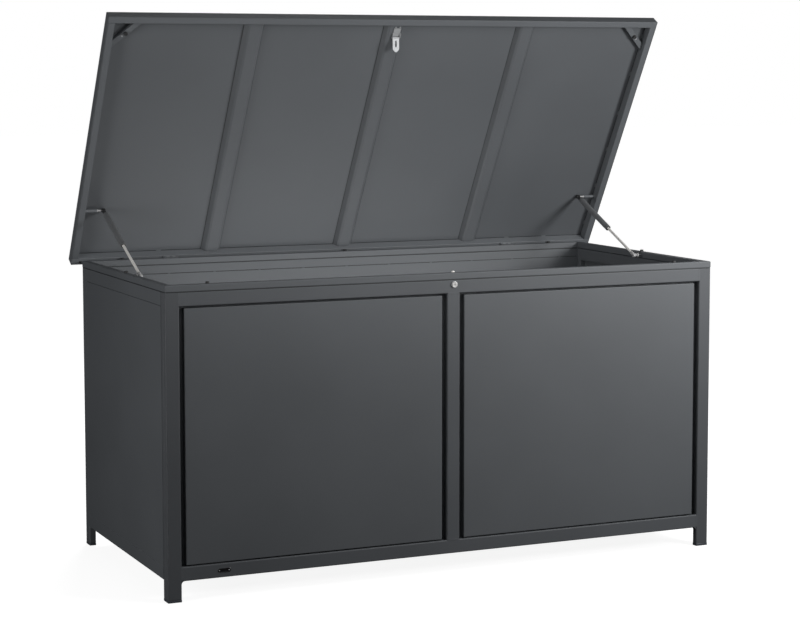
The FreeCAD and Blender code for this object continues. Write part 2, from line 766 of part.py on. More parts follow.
def strut_studs():
    """Ball studs on the rim, which the rod ends turn on."""
    plane = value("strut_plane")
    socket = value("socket_rad")
    wall = HALF - value("rim_size")
    studs = []
    for word, side in sides():
        flange = cylinder(f"StudFlange{word}", str(FLANGE_RAD), str(FLANGE_THICK), "X")
        move(flange, low_x(side, wall - FLANGE_THICK, wall), STRUT_BASE.y, STRUT_BASE.z)
        neck_span = wall - FLANGE_THICK - plane - socket
        neck = cylinder(f"StudNeck{word}", "neck_rad", str(neck_span), "X")
        move(neck, low_x(side, plane + socket, plane + socket + neck_span), STRUT_BASE.y, STRUT_BASE.z)
        pin = cylinder(f"StudPin{word}", "stud_rad", "2 * socket_rad", "X")
        move(pin, low_x(side, plane - socket, plane + socket), STRUT_BASE.y, STRUT_BASE.z)
        studs.append(fuse(f"Stud{word}", [flange, neck, pin]))
    keep(group("StrutStuds", studs), "strut_base_studs")


def strut_bars():
    """Round bars on the lid's side rails that carry the upper strut ends."""
    bars = []
    wall = value("lid_width / 2 - lid_skin - lid_rail")
    tip = value("strut_plane + socket_rad") + OPEN_PLAY
    shoulder = 843
    for word, side in sides():
        bar = cylinder(f"BarThick{word}", "bar_rad", str(wall - shoulder), "X")
        move(bar, low_x(side, shoulder, wall), 0, 0)
        neck = cylinder(f"BarNeck{word}", "neck_rad", str(shoulder - tip), "X")
        move(neck, low_x(side, tip, shoulder), 0, 0)
        joined = fuse(f"Bar{word}", [bar, neck])
        joined.Placement = on_lid(0, LID_STUD_Y, LID_STUD_Z)
        bars.append(joined)
    keep(group("StrutBars", bars), "strut_bars")


def strut_rods():
    piston_start = value("strut_mouth") + 11
    for word, side in sides():
        socket = cylinder(f"RodSocket{word}", "socket_rad", "2 * socket_rad", "X")
        move(socket, -value("socket_rad"), 0, 0)
        rod = cylinder(f"RodBar{word}", "rod_rad", str(piston_start + 12))
        piston = cylinder(f"RodPiston{word}", "strut_tube_rad - strut_tube_wall - 0.5", "12")
        body = fuse(f"RodSolid{word}", [socket, rod, move(piston, 0, 0, piston_start)])
        bore = cylinder(f"RodBore{word}", "stud_rad + fit_gap", "2 * socket_rad", "X")
        result = cut(f"Rod{word}", body, move(bore, -value("socket_rad"), 0, 0))
        result.Placement = Placement(STRUT_BASE + side * Vector(value("strut_plane"), 0, 0), STRUT_TURN)
        keep(result, f"strut_rod_{word}")


def strut_tubes():
    mouth = value("strut_mouth")
    length = STRUT_LENGTH - TUBE_END - mouth
    wall = value("strut_tube_wall")
    for word, side in sides():
        place = Placement(STRUT_BASE + side * Vector(value("strut_plane"), 0, 0), STRUT_TURN)
        outer = move(cylinder(f"TubeOuter{word}", "strut_tube_rad", str(length)), 0, 0, mouth)
        neck = cylinder(f"TubeNeck{word}", "5", str(TUBE_END))
        move(neck, 0, 0, STRUT_LENGTH - TUBE_END)
        socket = cylinder(f"TubeSocket{word}", "socket_rad", "2 * socket_rad", "X")
        move(socket, -value("socket_rad"), 0, STRUT_LENGTH)
        solid = fuse(f"TubeSolid{word}", [outer, neck, socket])
        bore = cylinder(f"TubeBore{word}", "strut_tube_rad - strut_tube_wall", str(length - 2 * wall))
        result = cut(f"Tube{word}", solid, move(bore, 0, 0, mouth))
        result.Placement = place
        keep(result, f"strut_tube_{word}")
        ring = cylinder(f"SealRing{word}", "strut_tube_rad - strut_tube_wall", "8")
        hole = cylinder(f"SealHole{word}", "rod_rad + fit_gap", "8")
        seal = cut(f"Seal{word}", move(ring, 0, 0, mouth + 1), move(hole, 0, 0, mouth + 1))
        seal.Placement = place
        keep(seal, f"strut_seal_{word}")


# ---------------------------------------------------------------- strike
STRIKE_Y = FRONT + value("strike_setback") - PIVOT.y
STRIKE_Z = LID_UNDER + value("strike_rise")
STRIKE_PIVOT = on_lid(value("strike_across"), STRIKE_Y, STRIKE_Z).Base
STRIKE_PIN = "1.2"
CURL_RAD = "2.4"
PLATE_GAP = 3
SLOT_HALF = 2.75
SLOT_SPAN = (9, 29)
TIP_HALF = 5
TIP_TALL = 9


def strike_bracket():
    """Plate under the front end of the centre rib, with two ears that hold the strike's pin."""
    half = value("strike_width") / 2
    thick = value("strike_sheet")
    face = LID_UNDER + value("lid_height - lid_skin - rib_rise")
    flat = box("BracketFlat", "strike_width", "28", "strike_sheet")
    flat.Placement = at(-half, STRIKE_Y - PLATE_GAP - 28, face - thick)
    pieces = [flat]
    for k, x in enumerate((-half - thick, half)):
        lug = box(f"BracketEar{k}", "strike_sheet", "18", "6.4")
        lug.Placement = at(x, STRIKE_Y - 15, face - 6.4)
        pieces.append(lug)
    pin = cylinder("BracketPin", STRIKE_PIN, "strike_width + 2 * strike_sheet", "X")
    pieces.append(move(pin, -half - thick, STRIKE_Y, STRIKE_Z))
    bracket = fuse("StrikeBracket", pieces)
    bracket.Placement = on_lid(value("strike_across"), 0, 0)
    keep(bracket, "strike_bracket")


def strike_plate():
    """Slotted plate that hangs plumb from the bracket's pin."""
    thick = value("strike_sheet")
    width = value("strike_width") / 2 - 0.5
    length = value("strike_length")
    body = doc.addObject("PartDesign::Body", "StrikeBlade")
    face = new_sketch(body, "StrikeFace", "XZ_Plane")
    shoulder = TIP_TALL - length
    add_outline(face, [(-width, 0), (-width, shoulder), (-TIP_HALF, -length),
                       (TIP_HALF, -length), (width, shoulder), (width, 0)])
    near, far = SLOT_SPAN
    add_outline(face, [(-SLOT_HALF, -far), (SLOT_HALF, -far), (SLOT_HALF, -near), (-SLOT_HALF, -near)])
    pad(body, face, "strike_sheet", back=True)
    body.Placement = at(0, -thick / 2, 0)
    curl = move(cylinder("StrikeCurl", CURL_RAD, str(2 * width), "X"), -width, 0, 0)
    bore = move(cylinder("StrikeBore", f"{STRIKE_PIN} + fit_gap", str(2 * width), "X"), -width, 0, 0)
    plate = cut("StrikePlate", fuse("StrikeSolid", [body, curl]), bore)
    plate.Placement = Placement(STRIKE_PIVOT, Rotation())
    keep(plate, "strike_plate")


front_frame()
front_panels()
side_frames()
side_panels()
rear_frame()
floor()
rim()
feet()
bumpers()
nameplate()
lock()
hinges()
lid_skin()
lid_rails()
lid_ribs()
lid_braces()
strut_studs()
strut_bars()
strut_rods()
strut_tubes()
strike_bracket()
strike_plate()
doc.recompute()

# ---------------------------------------------------------------- checks and export
for thing in doc.Objects:
    if "Invalid" in thing.State or "Error" in thing.State:
        raise RuntimeError(f"{thing.Name} failed: {thing.State}")
for piece in parts:
    if piece.Shape.isNull() or not piece.Shape.isValid():
        raise RuntimeError(f"{piece.Label} has a bad shape")
for piece in parts:
    piece.Shape.exportStep(f"parts/{piece.Label}.step")
print(f"{len(parts)} sub-parts, strut length {STRUT_LENGTH:.3f}")
print(f"front {FRONT:.4f}, pivot {PIVOT.y:.4f} {PIVOT.z:.4f}, strike {STRIKE_PIVOT.y:.4f} {STRIKE_PIVOT.z:.4f}")
print(f"strut base {STRUT_BASE.y:.4f} {STRUT_BASE.z:.4f}, strut top {STRUT_TOP.y:.4f} {STRUT_TOP.z:.4f}")
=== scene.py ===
"""Looks of a powder-coated steel deck box with a lift-up lid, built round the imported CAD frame."""
import json
import math

import bmesh
import bpy
from mathutils import Matrix, Vector


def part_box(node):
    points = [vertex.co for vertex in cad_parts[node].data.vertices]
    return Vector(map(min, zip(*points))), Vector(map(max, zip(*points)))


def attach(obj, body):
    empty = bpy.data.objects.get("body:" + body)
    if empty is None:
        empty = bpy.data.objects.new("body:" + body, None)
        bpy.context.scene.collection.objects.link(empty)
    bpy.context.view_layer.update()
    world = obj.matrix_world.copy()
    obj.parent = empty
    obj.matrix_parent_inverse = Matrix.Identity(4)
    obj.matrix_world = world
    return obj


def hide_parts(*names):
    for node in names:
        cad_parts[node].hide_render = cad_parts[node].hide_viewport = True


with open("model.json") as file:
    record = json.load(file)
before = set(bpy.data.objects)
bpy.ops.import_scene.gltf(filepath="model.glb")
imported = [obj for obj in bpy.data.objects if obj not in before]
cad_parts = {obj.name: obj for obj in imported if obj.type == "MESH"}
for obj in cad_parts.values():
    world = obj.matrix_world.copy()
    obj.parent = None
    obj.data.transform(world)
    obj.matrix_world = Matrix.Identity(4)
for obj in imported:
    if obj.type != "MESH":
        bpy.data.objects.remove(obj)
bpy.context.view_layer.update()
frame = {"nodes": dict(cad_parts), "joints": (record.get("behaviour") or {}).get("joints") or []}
JOINTS = {joint["name"]: joint for joint in frame["joints"]}
MM = 0.001


# ------------------------------------------------------------------ camera
def make_camera():
    """Long lens from the front left, a little above the rim, with a slight downward shift."""
    data = bpy.data.cameras.new("Camera")
    data.sensor_width = 36
    data.lens = 94.49
    data.shift_y = -0.065
    data.clip_end = 60
    data.dof.use_dof = False
    camera = bpy.data.objects.new("Camera", data)
    bpy.context.scene.collection.objects.link(camera)
    yaw = 0.42361
    pitch = 0.08981
    roll = 0.00079
    turn = Matrix.Rotation(-yaw, 4, "Z") @ Matrix.Rotation(math.pi / 2 - pitch, 4, "X")
    turn = turn @ Matrix.Rotation(-roll, 4, "Z")
    camera.matrix_world = Matrix.Translation((-2.618, -5.8511, 1.4639)) @ turn
    bpy.context.scene.camera = camera


make_camera()


# ------------------------------------------------------------------ node helpers
class Nodes:
    """Short way to build a node tree for one material."""

    def __init__(self, name):
        self.material = bpy.data.materials.new(name)
        self.material.use_nodes = True
        self.tree = self.material.node_tree
        self.shader = self.tree.nodes["Principled BSDF"]

    def add(self, kind, **settings):
        node = self.tree.nodes.new(kind)
        for name, setting in settings.items():
            setattr(node, name, setting)
        return node

    def join(self, start, end):
        self.tree.links.new(start, end)

    def set(self, **values):
        """Constant values straight on the shader's sockets."""
        for name, number in values.items():
            self.shader.inputs[name.replace("_", " ")].default_value = number

    def place(self):
        return self.add("ShaderNodeTexCoord").outputs["Object"]

    def noise(self, scale, detail=3.0, rough=0.5, place=None):
        node = self.add("ShaderNodeTexNoise")
        node.inputs["Scale"].default_value = scale
        node.inputs["Detail"].default_value = detail
        node.inputs["Roughness"].default_value = rough
        self.join(place or self.place(), node.inputs["Vector"])
        return node.outputs["Fac"]

    def spread(self, value, low, high, start=0.0, end=1.0):
        """Maps a value to a range."""
        node = self.add("ShaderNodeMapRange")
        node.inputs["From Min"].default_value = low
        node.inputs["From Max"].default_value = high
        node.inputs["To Min"].default_value = start
        node.inputs["To Max"].default_value = end
        self.join(value, node.inputs["Value"])
        return node.outputs["Result"]

    def maths(self, operation, a, b):
        node = self.add("ShaderNodeMath", operation=operation)
        for socket, term in zip(node.inputs, (a, b)):
            if isinstance(term, (int, float)):
                socket.default_value = term
            else:
                self.join(term, socket)
        return node.outputs["Value"]

    def blend(self, share, first, second):
        """Colour mix by a share."""
        node = self.add("ShaderNodeMix", data_type="RGBA")
        self.join(share, node.inputs[0])
        for socket, colour in ((node.inputs[6], first), (node.inputs[7], second)):
            if isinstance(colour, tuple):
                socket.default_value = (*colour, 1.0)
            else:
                self.join(colour, socket)
        return node.outputs[2]

    def bump(self, height, strength, distance, normal=None):
        node = self.add("ShaderNodeBump")
        node.inputs["Strength"].default_value = strength
        node.inputs["Distance"].default_value = distance
        self.join(height, node.inputs["Height"])
        if normal:
            self.join(normal, node.inputs["Normal"])
        return node.outputs["Normal"]

    def soft_edges(self, radius):
        """Normal that rounds the edges a little, and a mask that is 1 along them."""
        bevel = self.add("ShaderNodeBevel", samples=4)
        bevel.inputs["Radius"].default_value = radius
        plain = self.add("ShaderNodeNewGeometry")
        dot = self.add("ShaderNodeVectorMath", operation="DOT_PRODUCT")
        self.join(bevel.outputs["Normal"], dot.inputs[0])
        self.join(plain.outputs["Normal"], dot.inputs[1])
        mask = self.spread(dot.outputs["Value"], 0.99, 0.80)
        return bevel.outputs["Normal"], mask


def powder_coat(name, colour, lift=1.25):
    """Fine-textured matt coat: tight grain, faint orange peel, slow tone changes, rubbed edges."""
    n = Nodes(name)
    rounded, edge = n.soft_edges(0.0012)
    grain = n.noise(1500, 2.0, 0.6)
    peel = n.noise(260, 2.0)
    cloud = n.noise(2.2, 4.0, 0.55)
    tone = n.spread(cloud, 0.3, 0.7)
    darker = tuple(c * 0.93 for c in colour)
    paler = tuple(c * 1.06 for c in colour)
    base = n.blend(tone, darker, paler)
    speck = n.spread(grain, 0.35, 0.7, 0.0, 0.35)
    base = n.blend(speck, base, tuple(c * 1.3 for c in colour))
    breakup = n.maths("MULTIPLY", edge, n.spread(n.noise(45, 3.0), 0.35, 0.65, 0.25, 0.8))
    base = n.blend(breakup, base, tuple(c * lift for c in colour))
    n.join(base, n.shader.inputs["Base Color"])
    slow, fine = n.spread(cloud, 0.3, 0.7, 0.50, 0.57), n.spread(grain, 0.3, 0.7, -0.05, 0.05)
    rough = n.maths("ADD", slow, fine)
    n.join(rough, n.shader.inputs["Roughness"])
    height = n.maths("ADD", grain, n.maths("MULTIPLY", peel, 0.6))
    n.join(n.bump(height, 0.22, 0.0004, rounded), n.shader.inputs["Normal"])
    n.set(Specular_IOR_Level=0.45)
    return n.material


def bare_metal(name, colour, rough, streak=(1, 1, 1), mottle=0.25, shine=0.5):
    """Plated steel with fine streaks and a slight mottle; only part of it is metallic, and the rest is a
    pale diffuse colour that paints in part of its sheen.
    """
    n = Nodes(name)
    rounded, edge = n.soft_edges(0.0005)
    mapping = n.add("ShaderNodeMapping")
    mapping.inputs["Scale"].default_value = streak
    n.join(n.place(), mapping.inputs["Vector"])
    streaks = n.noise(900, 3.0, 0.6, mapping.outputs["Vector"])
    cloud = n.noise(120, 4.0, 0.6)
    base = n.blend(n.spread(cloud, 0.3, 0.7, 0, mottle), colour, tuple(c * 0.55 for c in colour))
    base = n.blend(n.maths("MULTIPLY", edge, 0.5), base, tuple(min(1.0, c * 1.2) for c in colour))
    n.join(base, n.shader.inputs["Base Color"])
    n.join(n.spread(streaks, 0.25, 0.75, rough - 0.08, rough + 0.10), n.shader.inputs["Roughness"])
    n.join(n.bump(streaks, 0.15, 0.0001, rounded), n.shader.inputs["Normal"])
    n.set(Metallic=shine)
    return n.material


def plastic(name, colour, rough, grain=600, dust=(0.3, 0.3, 0.3)):
    """Moulded plastic or rubber with a fine grain and a little dust."""
    n = Nodes(name)
    rounded, edge = n.soft_edges(0.0007)
    fine = n.noise(grain, 3.0)
    patches = n.noise(40, 4.0)
    base = n.blend(n.spread(patches, 0.45, 0.8, 0, 0.12), colour, dust)
    worn = tuple(min(1.0, c * 1.9 + 0.01) for c in colour)
    base = n.blend(n.maths("MULTIPLY", edge, 0.35), base, worn)
    n.join(base, n.shader.inputs["Base Color"])
    n.join(n.spread(fine, 0.3, 0.7, rough - 0.06, rough + 0.06), n.shader.inputs["Roughness"])
    n.join(n.bump(fine, 0.25, 0.00015, rounded), n.shader.inputs["Normal"])
    return n.material


# one coat; its lighter copies paint light onto the lid, its rails, braces and hinge rail, and its darker
# copies paint shade onto the posts, front rails and box floor
COAT = powder_coat("powder_coat", (0.096, 0.103, 0.111))
# near-black coat for the seam strips: dark joints, and painted shade where parts meet
SEAM_SHADE = powder_coat("open_seam", (0.020, 0.022, 0.024), 1.0)
FRAME_SHADED_COAT = powder_coat("powder_coat_frame", (0.085, 0.091, 0.099))
POST_SHADED_COAT = powder_coat("powder_coat_post", (0.075, 0.080, 0.087))
HINGE_RAIL_LIT_COAT = powder_coat("powder_coat_hinge_rail", (0.150, 0.160, 0.170))
LID_LIT_COAT = powder_coat("powder_coat_lid", (0.102, 0.109, 0.117))
RAIL_LIT_COAT = powder_coat("powder_coat_rails", (0.116, 0.124, 0.133))
FLOOR_SHADED_COAT = powder_coat("powder_coat_floor", (0.080, 0.085, 0.092))
ZINC = bare_metal("zinc_plate", (0.44, 0.45, 0.46), 0.45, shine=0.35)
SCREW = bare_metal("zinc_screw", (0.34, 0.34, 0.35), 0.40)
CAST = bare_metal("zinc_casting", (0.50, 0.50, 0.50), 0.45, mottle=0.35, shine=0.2)
LOCK_CHROME = bare_metal("lock_chrome", (0.62, 0.62, 0.62), 0.30, mottle=0.1, shine=0.3)
# near-white base with little metal: the chrome's sheen on rods, plunger and yoke head is painted in as
# colour
ROD_CHROME_PAINTED_SHINE = bare_metal("rod_chrome", (0.86, 0.84, 0.81), 0.32, (1, 1, 0.05), 0.05, 0.12)
STRUT_PAINT = powder_coat("strut_paint", (0.125, 0.129, 0.134))
RUBBER = plastic("black_rubber", (0.018, 0.018, 0.019), 0.62)
FOOT = plastic("foot_plastic", (0.045, 0.052, 0.064), 0.48, 400)
NYLON = plastic("black_nylon", (0.012, 0.012, 0.013), 0.35)
PLATE = plastic("plate_black", (0.010, 0.010, 0.011), 0.22, 900)

# the lighter and darker coat copies below are painted light and painted shade, set part by part
NODE_MATERIALS = {
    "front_post_left": POST_SHADED_COAT,
    "front_post_right": POST_SHADED_COAT,
    "front_post_centre": FRAME_SHADED_COAT,
    "side_front_post_left": POST_SHADED_COAT,
    "side_front_post_right": POST_SHADED_COAT,
    "front_top_rail": FRAME_SHADED_COAT,
    "front_bottom_rail": FRAME_SHADED_COAT,
    "lid_skin": LID_LIT_COAT,
    "lid_rib_left": LID_LIT_COAT,
    "lid_rib_centre": LID_LIT_COAT,
    "lid_rib_right": LID_LIT_COAT,
    "lid_front_rail": RAIL_LIT_COAT,
    "lid_side_rail_left": RAIL_LIT_COAT,
    "lid_side_rail_right": RAIL_LIT_COAT,
    "lid_rear_rail": HINGE_RAIL_LIT_COAT,
    "hinge_leaves_lid": HINGE_RAIL_LIT_COAT,
    "lid_brace_left": RAIL_LIT_COAT,
    "lid_brace_right": RAIL_LIT_COAT,
    "floor_panel": FLOOR_SHADED_COAT,
    "foot_plugs": FOOT,
    "rim_bumpers": RUBBER,
    "lid_buffers": RUBBER,
    "lid_plug": RUBBER,
    "bumper_screws": ZINC,
    "nameplate_rivets": ZINC,
    "strike_plate": ZINC,
    "strike_bracket": ZINC,
    "strut_base_studs": ZINC,
    "hinge_pins": ZINC,
    "lock_housing": LOCK_CHROME,
    "lock_plunger": LOCK_CHROME,
    "key_plug": LOCK_CHROME,
    "strut_rod_left": ROD_CHROME_PAINTED_SHINE,
    "strut_rod_right": ROD_CHROME_PAINTED_SHINE,
    "strut_tube_left": STRUT_PAINT,
    "strut_tube_right": STRUT_PAINT,
    "strut_seal_left": NYLON,
    "strut_seal_right": NYLON,
    "blank_nameplate": PLATE,
}


def dress(obj, material):
    obj.data.materials.clear()
    obj.data.materials.append(material)


for node_name, node in frame["nodes"].items():
    dress(node, NODE_MATERIALS.get(node_name, COAT))


# ------------------------------------------------------------------ mesh helpers
def piece(name, bm, material, body, replaced=()):
    """Makes a mesh piece that rides on a body; only its sharp corners stay sharp."""
    bmesh.ops.recalc_face_normals(bm, faces=bm.faces)
    mesh = bpy.data.meshes.new(name)
    bm.to_mesh(mesh)
    bm.free()
    mesh.shade_smooth()
    mesh.set_sharp_from_angle(angle=math.radians(38))
    obj = bpy.data.objects.new(name, mesh)
    bpy.context.scene.collection.objects.link(obj)
    dress(obj, material)
    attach(obj, body)
    if replaced:
        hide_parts(*replaced)
    return obj


def mm(pairs):
    """Profile or outline given in millimetres."""
    return [(a * MM, b * MM) for a, b in pairs]


def facing(origin, direction):
    """Place whose local Z points in a direction."""
    turn = Vector(direction).to_track_quat("Z", "Y").to_matrix().to_4x4()
    return Matrix.Translation(origin) @ turn


def seated(origin, along, out):
    """Place whose local X runs along a line and whose local Z points out of the surface."""
    x = Vector(along).normalized()
    z = Vector(out).normalized()
    turn = Matrix((x, z.cross(x), z)).transposed().to_4x4()
    return Matrix.Translation(origin) @ turn


def loft(bm, rows):
    """Skin between rows of points; a row of one point closes an end."""
    count = max(len(row) for row in rows)
    for low, high in zip(rows, rows[1:]):
        for k in range(count):
            here, after = k % len(low), (k + 1) % len(low)
            corners = (low[here], low[after], high[(k + 1) % len(high)], high[k % len(high)])
            corners = tuple(dict.fromkeys(corners))
            if len(corners) > 2:
                bm.faces.new(corners)


def lathe(bm, place, profile, count=32, close=False):
    """Turned shape from (radius, height) pairs along the local Z axis."""
    rows = []
    for radius, height in profile:
        if radius < 1e-7:
            rows.append([bm.verts.new(place @ Vector((0, 0, height)))])
            continue
        angles = [2 * math.pi * k / count for k in range(count)]
        around = [Vector((radius * math.cos(a), radius * math.sin(a), height)) for a in angles]
        rows.append([bm.verts.new(place @ point) for point in around])
    if close:
        rows.append(rows[0])
    loft(bm, rows)


def prism(bm, place, outline, low, high, bevel=0.0, segments=2):
    """Extruded outline in the local XY plane, with rounded edges."""
    bottom = [bm.verts.new(place @ Vector((x, y, low))) for x, y in outline]
    top = [bm.verts.new(place @ Vector((x, y, high))) for x, y in outline]
    faces = [bm.faces.new(list(reversed(bottom))), bm.faces.new(top)]
    count = len(outline)
    for k in range(count):
        after = (k + 1) % count
        faces.append(bm.faces.new((bottom[k], bottom[after], top[after], top[k])))
    if bevel:
        edges = list({edge for face in faces for edge in face.edges})
        bmesh.ops.bevel(bm, geom=edges, offset=bevel, segments=segments, profile=0.5,
                        affect="EDGES", clamp_overlap=True)


def arc(cx, cy, radius, start, end, steps=6):
    """Points of an arc between two angles in degrees."""
    spread = [math.radians(start + (end - start) * k / steps) for k in range(steps + 1)]
    return [(cx + radius * math.cos(a), cy + radius * math.sin(a)) for a in spread]


def rectangle(wide, deep, radius, steps=4):
    """Rounded rectangle about the origin."""
    x, y = wide / 2 - radius, deep / 2 - radius
    corners = ((x, y, 0), (-x, y, 90), (-x, -y, 180), (x, -y, 270))
    return [p for cx, cy, a in corners for p in arc(cx, cy, radius, a, a + 90, steps)]


def slotted(bm, place, outer, inner, centre, low, high, count=96):
    """Plate with one hole; both outlines are walked by the same angles round a centre."""
    rings = []
    for outline in (outer, inner):
        flat = [reach(outline, centre, 2 * math.pi * k / count) for k in range(count)]
        rings.append([[bm.verts.new(place @ Vector((*spot, z))) for spot in flat] for z in (low, high)])
    (outer_low, outer_high), (inner_low, inner_high) = rings
    loft(bm, [inner_low, outer_low, outer_high, inner_high, inner_low])


def reach(outline, centre, angle):
    """Where a ray from a centre meets a closed outline."""
    dx, dy = math.cos(angle), math.sin(angle)
    best = 0.0
    for k, (x0, y0) in enumerate(outline):
        x1, y1 = outline[(k + 1) % len(outline)]
        ex, ey = x1 - x0, y1 - y0
        cross = dx * ey - dy * ex
        if abs(cross) < 1e-12:
            continue
        fx, fy = x0 - centre[0], y0 - centre[1]
        share = (fx * dy - fy * dx) / cross
        if -1e-9 <= share <= 1 + 1e-9:
            best = max(best, (fx * ey - fy * ex) / cross)
    return centre[0] + best * dx, centre[1] + best * dy


def bead(bm, place, long=0.014, wide=0.0042, high=0.0012):
    """Weld bead along the local X axis: a low lump whose crest is rippled."""
    steps, around = 14, 8
    rows = []
    for k in range(steps + 1):
        u = 2 * k / steps - 1
        swell = math.sqrt(max(0.0, 1 - u * u))
        if swell < 1e-6:
            rows.append([bm.verts.new(place @ Vector((u * long / 2, 0, 0)))])
            continue
        ripple = 1 + 0.16 * math.cos(k * math.pi)
        row = []
        for j in range(around + 1):
            a = math.pi * j / around
            y = swell * wide / 2 * math.cos(a)
            z = swell * high * ripple * math.sin(a)
            row.append(bm.verts.new(place @ Vector((u * long / 2, y, z))))
        row.append(bm.verts.new(place @ Vector((u * long / 2, 0, -0.3 * high))))
        rows.append(row)
    loft(bm, rows)


def stitch(bm, start, end, out, pitch=0.150, long=0.014, wide=0.0042, high=0.0012):
    """Tack welds spaced along a seam, all facing out."""
    start, end = Vector(start), Vector(end)
    run = end - start
    count = max(1, round(run.length / pitch))
    for k in range(count):
        spot = start + run * ((k + 0.5) / count)
        stretch = 1 + 0.18 * math.sin(7.3 * k + 40 * spot.x)
        bead(bm, seated(spot, run, out), long * stretch, wide, high)


def box_in(place, node):
    """Lowest and highest corner of a node, measured in a turned place."""
    back = place.inverted()
    corners = [back @ vertex.co for vertex in frame["nodes"][node].data.vertices]
    low = Vector([min(corner[k] for corner in corners) for k in range(3)])
    high = Vector([max(corner[k] for corner in corners) for k in range(3)])
    return low, high


HINGE = Vector(JOINTS["lid_hinge"]["pos_m"])
OPEN = math.radians(JOINTS["lid_hinge"]["range_deg"][1])
LID = Matrix.Translation(HINGE) @ Matrix.Rotation(-OPEN, 4, "X")
SIDES = (("left", -1), ("right", 1))

# the box: outer faces, and the inner faces of the rim and of the front posts
TUBE_THIN = 20 * MM
TUBE_WIDE = 40 * MM
BOX_FRONT = -0.4220735
BOX_REAR = 0.3959265
BOX_HALF = 0.870
RIM_INNER = 0.850
POST_INNER = 0.830
REAR_SHEET = BOX_REAR - 21.5 * MM
BOTTOM_RAIL = (0.058, 0.098)
TOP_RAIL = (0.820, 0.860)

# the lid, in its own frame: height of the skin's underside, inner faces of its rails, ribs
SKIN_UNDER = 31.5 * MM
LID_FRONT_RAIL = -827 * MM
LID_REAR_RAIL = -2.5 * MM
LID_SIDE_RAIL = 883.5 * MM
RIBS = (-0.45, 0, 0.45)
RIB_FOOT = 0.0313

# the strike, its yoke and the struts
YOKE_ACROSS = 8 * MM
YOKE_FACE = BOX_FRONT + 21 * MM
STRUT_LENGTH = 0.407498
STRUT_MOUTH = 183.5


# ------------------------------------------------------------------ feet and nameplate
def foot_plugs():
    """Moulded plugs: a soft-edged block with a shadow groove where it enters the tube."""
    low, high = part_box("foot_plugs")
    thin, wide = TUBE_THIN, TUBE_WIDE
    step = 0.7 * MM
    top = high.z
    bm = bmesh.new()
    for side in (-1, 1):
        edge = high.x if side > 0 else -low.x
        front = [(0, 0), (-wide, 0), (-wide, thin), (-thin, thin), (-thin, wide), (0, wide)]
        rear = [(0, 0), (-thin, 0), (-thin, wide), (0, wide)]
        for outline, y in ((front, low.y), (rear, high.y - wide)):
            ground = [(side * x, dy) for x, dy in outline]
            place = Matrix.Translation((side * edge, y, 0))
            prism(bm, place, ground, low.z, top - 1.2 * MM, 1.0 * MM, 3)
            inset = [(side * (x + (step if x < -1e-6 else -step)), dy + (step if dy < 1e-6 else -step))
                     for x, dy in outline]
            prism(bm, place, inset, top - 1.6 * MM, top + 0.05 * MM)
    piece("foot_plugs_moulded", bm, FOOT, "box", ["foot_plugs"])


def nameplate():
    """Blank plate with round ends, a raised border and two domed rivets."""
    low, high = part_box("blank_nameplate")
    size = high - low
    place = seated(((low.x + high.x) / 2, high.y, (low.z + high.z) / 2), (1, 0, 0), (0, -1, 0))
    bm = bmesh.new()
    rows = []
    for inset, share in ((0, 0.0), (0, 0.7), (0.3, 1), (1.2, 1), (1.7, 0.6)):
        inset *= MM
        outline = rectangle(size.x - 2 * inset, size.z - 2 * inset, (size.z / 2 - inset) * 0.999, 10)
        rows.append([bm.verts.new(place @ Vector((x, y, size.y * share))) for x, y in outline])
    loft(bm, rows)
    bm.faces.new(rows[-1])
    bm.faces.new(list(reversed(rows[0])))
    piece("blank_nameplate_pressed", bm, PLATE, "box", ["blank_nameplate"])
    bm = bmesh.new()
    low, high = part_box("nameplate_rivets")
    dome = [(0, 0.8), (0.6, 0.76), (1.1, 0.58), (1.45, 0.3), (1.6, 0.0), (1.6, -0.5), (0, -0.5)]
    for x in (low.x + 1.6 * MM, high.x - 1.6 * MM):
        lathe(bm, facing((x, high.y, (low.z + high.z) / 2), (0, -1, 0)), mm(dome), 20)
    piece("nameplate_rivets_domed", bm, ZINC, "box", ["nameplate_rivets"])


# ------------------------------------------------------------------ rubber stops
def cross_head(bm, place, radius, height):
    """Screw head with a crosswise recess."""
    count = 32
    turns = [2 * math.pi * k / count for k in range(count)]

    def ring(shares, z):
        return [bm.verts.new(place @ Vector((share * radius * math.cos(a), share * radius * math.sin(a),
                                             z * height))) for share, a in zip(shares, turns)]

    rows = [ring([share] * count, z) for share, z in ((1.0, 0.0), (1.0, 0.55), (0.85, 0.9), (0.62, 1.0))]
    arms = [0.52 if k % 8 in (0, 1, 7) else 0.24 for k in range(count)]
    rows += [ring(arms, depth) for depth in (1.0, 0.35)]
    rows.append([bm.verts.new(place @ Vector((0, 0, 0.30 * height)))])
    loft(bm, rows)
    bm.faces.new(list(reversed(rows[0])))


def islands(node):
    """Middle and low height of each separate solid of a node, found by grouping its vertices."""
    mesh = frame["nodes"][node].data
    parent = list(range(len(mesh.vertices)))

    def root(k):
        while parent[k] != k:
            parent[k] = parent[parent[k]]
            k = parent[k]
        return k

    for edge in mesh.edges:
        a, b = (root(k) for k in edge.vertices)
        parent[a] = b
    places = {}
    for k, vertex in enumerate(mesh.vertices):
        spot = tuple(round(c, 6) for c in vertex.co)
        if spot in places:
            parent[root(k)] = root(places[spot])
        places[spot] = k
    groups = {}
    for k, vertex in enumerate(mesh.vertices):
        groups.setdefault(root(k), []).append(vertex.co)
    middles = []
    for points in groups.values():
        low = Vector([min(p[k] for p in points) for k in range(3)])
        high = Vector([max(p[k] for p in points) for k in range(3)])
        middles.append(((low + high) / 2, low.z))
    return sorted(middles, key=lambda item: tuple(item[0]))


